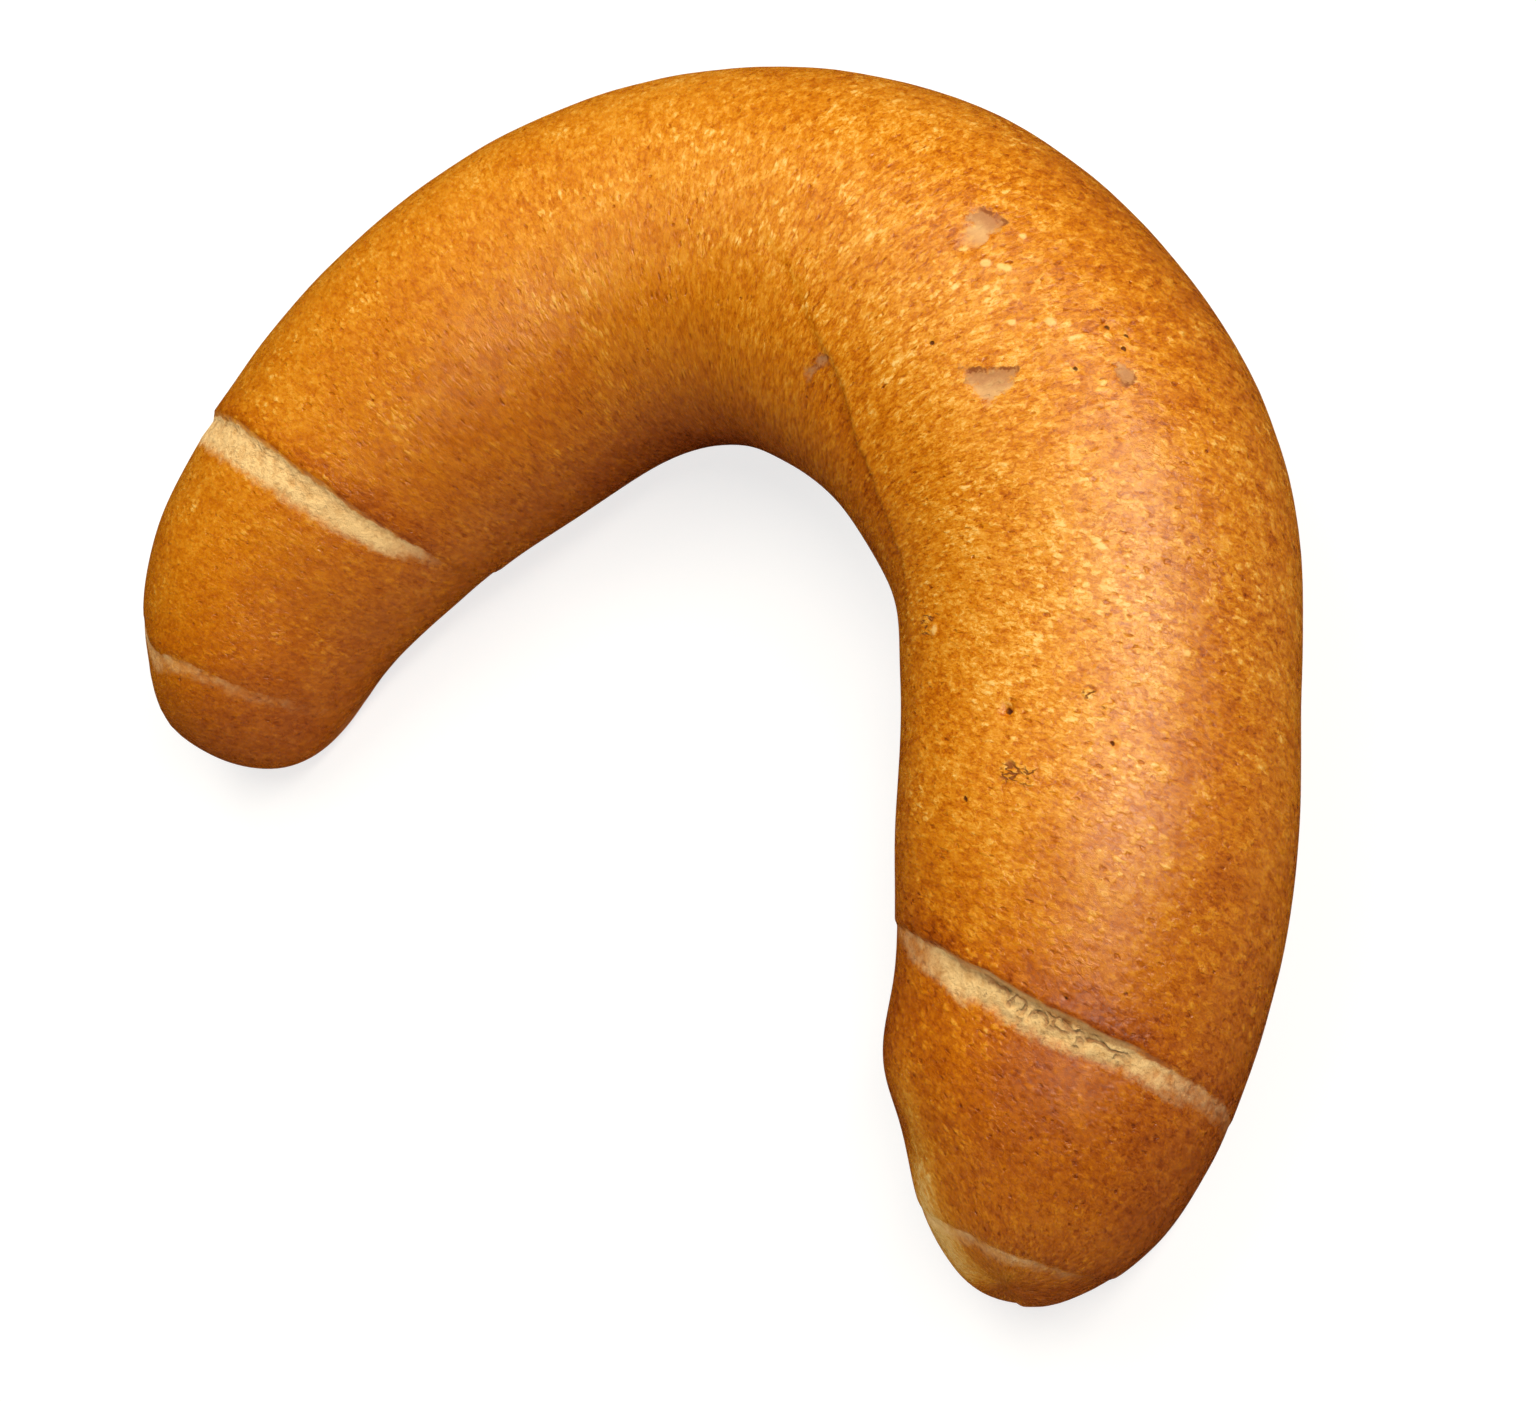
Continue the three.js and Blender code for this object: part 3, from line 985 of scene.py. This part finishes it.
def baked_crust(grid, point):
    """The material of the whole roll."""
    material = bpy.data.materials.new("baked_crust")
    nodes = Nodes(material)
    cracks, rims = crackle(nodes, near_points(nodes, grid, point, CRACKLES))
    blisters = near_points(nodes, grid, point, BLISTERS)
    walls = [(from_tip, turn, radius * HOLE_WALL) for from_tip, turn, radius in PINHOLES]
    pinholes = near_points(nodes, grid, point, walls)
    colour, height = whole_crust(nodes, cracks, rims)
    showing, dough, dough_height = bare_dough(nodes)
    flaked, bared, dark_edge_and_curl_shadow = flaked_crust(nodes)
    layers = [
        (showing, dough),
        (nodes.times(flaked, 0.85), bared),
        # The chips' dark edges with the shadow painted under their curls, and the crackle's dark cracks.
        (nodes.math("MAXIMUM", dark_edge_and_curl_shadow, nodes.times(cracks, 0.9)), CREVICE),
        (nodes.times(blisters, 0.7), BLISTER),
        # Painted shade in the pinholes.
        (nodes.times(pinholes, 0.9), PAINTED_SHADE_IN_PINHOLES),
    ]
    for share, layer in layers:
        colour = nodes.mix(share, colour, layer)
    nodes.feed(nodes.shader.inputs["Base Color"], colour)
    matt = nodes.mark("sole")
    for part in (showing, flaked, pinholes, dark_edge_and_curl_shadow, cracks):
        matt = nodes.math("MAXIMUM", matt, part)
    uneven = nodes.times(nodes.noise(1.2, 3, 0.7, 53, nodes.grain), 0.08)
    duller = nodes.times(matt, MATT_ROUGHNESS - GLOSS_ROUGHNESS)
    nodes.feed(nodes.shader.inputs["Roughness"], nodes.total(GLOSS_ROUGHNESS, uneven, duller))
    nodes.shader.inputs["Specular IOR Level"].default_value = 0.7
    height = nodes.total(height, nodes.times(showing, dough_height), nodes.times(pinholes, -0.3))
    bump = nodes.add("ShaderNodeBump", {"Strength": 1.0, "Distance": MM, "Height": height})
    nodes.feed(nodes.shader.inputs["Normal"], bump.outputs["Normal"])
    return material


def make_roll():
    grid = Grid(cad_surface())
    relief = Relief(grid)
    point = relief.raised()
    mesh = roll_mesh(grid, point, relief.marks)
    roll = bpy.data.objects.new("crescent_roll_crust", mesh)
    bpy.context.scene.collection.objects.link(roll)
    mesh.materials.append(baked_crust(grid, point))
    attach(roll, "root")
    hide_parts(NODE)


# ---- Studio ----

CAMERA_TARGET = (-0.2, -10.4, 0.0)  # from the middle of the roll's base
CAMERA_BACK = (0.4997, -0.0175, 0.8660)  # from the target towards the camera
CAMERA_DISTANCE = 272.6
CAMERA_UP = (-0.6428, 0.7660, 0.0)
LENS = 56.41
SENSOR = 36.0

LAMPLIGHT = (1.0, 0.95, 0.84)
# Soft rectangular lamps: name, direction from the roll, distance, width and length, power in watts. The
# length lies along the roll's arms.
LAMPS = [
    ("overhead", (-0.40, 0.10, 0.91), 0.38, (0.3, 0.3), 0.86),
    ("window", (0.0, 0.7, 0.7), 0.9, (0.5, 0.4), 1.85),
    ("strip", (0.37, 0.39, 0.84), 0.55, (0.10, 0.40), 2.2),
    ("front", (0.3, -0.9, 0.3), 0.4, (0.3, 0.2), 0.5),
    ("left", (-0.70, 0.38, 0.60), 0.6, (0.2, 0.25), 0.8),
    ("right", (0.9, 0.35, 0.35), 0.6, (0.3, 0.3), 0.26),
]
SHINING_LAMP = "strip"  # the only one that shows as gloss

BACKDROP = 0.75  # how bright the floor's glow and the surroundings are
FLOOR_SIZE = 8.0
FLOOR_ROUGHNESS = 0.9
# Name, millimetres below the roll, grey and glow of the floor that is seen and of the one that only throws
# light back up at the roll.
SEEN_FLOOR = ("floor", 0.1, 0.3, BACKDROP)
BOUNCE_FLOOR = ("floor_bounce", 0.3, 0.88, 0.0)


def make_camera():
    data = bpy.data.cameras.new("camera")
    data.sensor_width = SENSOR
    data.lens = LENS
    data.clip_start = 0.01
    data.clip_end = 10
    camera = bpy.data.objects.new("camera", data)
    bpy.context.scene.collection.objects.link(camera)
    low, high = CAD_BOX
    base = Vector(((low.x + high.x) / 2, (low.y + high.y) / 2, low.z))
    back = Vector(CAMERA_BACK).normalized()
    right = Vector(CAMERA_UP).cross(back).normalized()
    up = back.cross(right)
    turned = Matrix((right, up, back)).transposed().to_4x4()
    place = base + (Vector(CAMERA_TARGET) + back * CAMERA_DISTANCE) * MM
    camera.matrix_world = Matrix.Translation(place) @ turned
    bpy.context.scene.camera = camera


def make_floor(name, below, grey, glow):
    """A wide level floor, which also glows a little so that it stays pale far away."""
    mesh = bpy.data.meshes.new(name)
    half, level = FLOOR_SIZE / 2, -below * MM
    corners = [(-half, -half, level), (half, -half, level), (half, half, level), (-half, half, level)]
    mesh.from_pydata(corners, [], [(0, 1, 2, 3)])
    material = bpy.data.materials.new(name)
    material.use_nodes = True
    shader = material.node_tree.nodes["Principled BSDF"]
    shader.inputs["Base Color"].default_value = (grey, grey, grey, 1)
    shader.inputs["Roughness"].default_value = FLOOR_ROUGHNESS
    shader.inputs["Emission Color"].default_value = (1, 1, 1, 1)
    shader.inputs["Emission Strength"].default_value = glow
    mesh.materials.append(material)
    floor = bpy.data.objects.new(name, mesh)
    bpy.context.scene.collection.objects.link(floor)
    floor.visible_glossy = False
    return floor


def make_backdrop():
    """The two floors, and pale surroundings that are only seen and light nothing."""
    seen = make_floor(*SEEN_FLOOR)
    seen.visible_diffuse = False
    seen.visible_shadow = False
    bounce = make_floor(*BOUNCE_FLOOR)
    bounce.visible_camera = False
    world = bpy.data.worlds.new("studio")
    world.use_nodes = True
    world.node_tree.nodes["Background"].inputs["Color"].default_value = (BACKDROP, BACKDROP, BACKDROP, 1)
    world.cycles_visibility.diffuse = False
    world.cycles_visibility.glossy = False
    bpy.context.scene.world = world


def make_lamp(name, towards, distance, size, power):
    """A lamp in this direction from the roll, facing it."""
    data = bpy.data.lights.new(name, "AREA")
    data.shape = "RECTANGLE"
    data.size, data.size_y = size
    data.energy = power
    data.color = LAMPLIGHT
    lamp = bpy.data.objects.new(name, data)
    bpy.context.scene.collection.objects.link(lamp)
    way = Vector(towards).normalized()
    width_way = Vector((0, 1, 0)).cross(way).normalized()
    turned = Matrix((width_way, way.cross(width_way), way)).transposed().to_4x4()
    lamp.matrix_world = Matrix.Translation(way * distance) @ turned
    lamp.visible_glossy = name == SHINING_LAMP


def make_studio():
    bpy.context.scene.view_settings.view_transform = "Standard"
    make_backdrop()
    for lamp in LAMPS:
        make_lamp(*lamp)


make_camera()
make_studio()
make_roll()
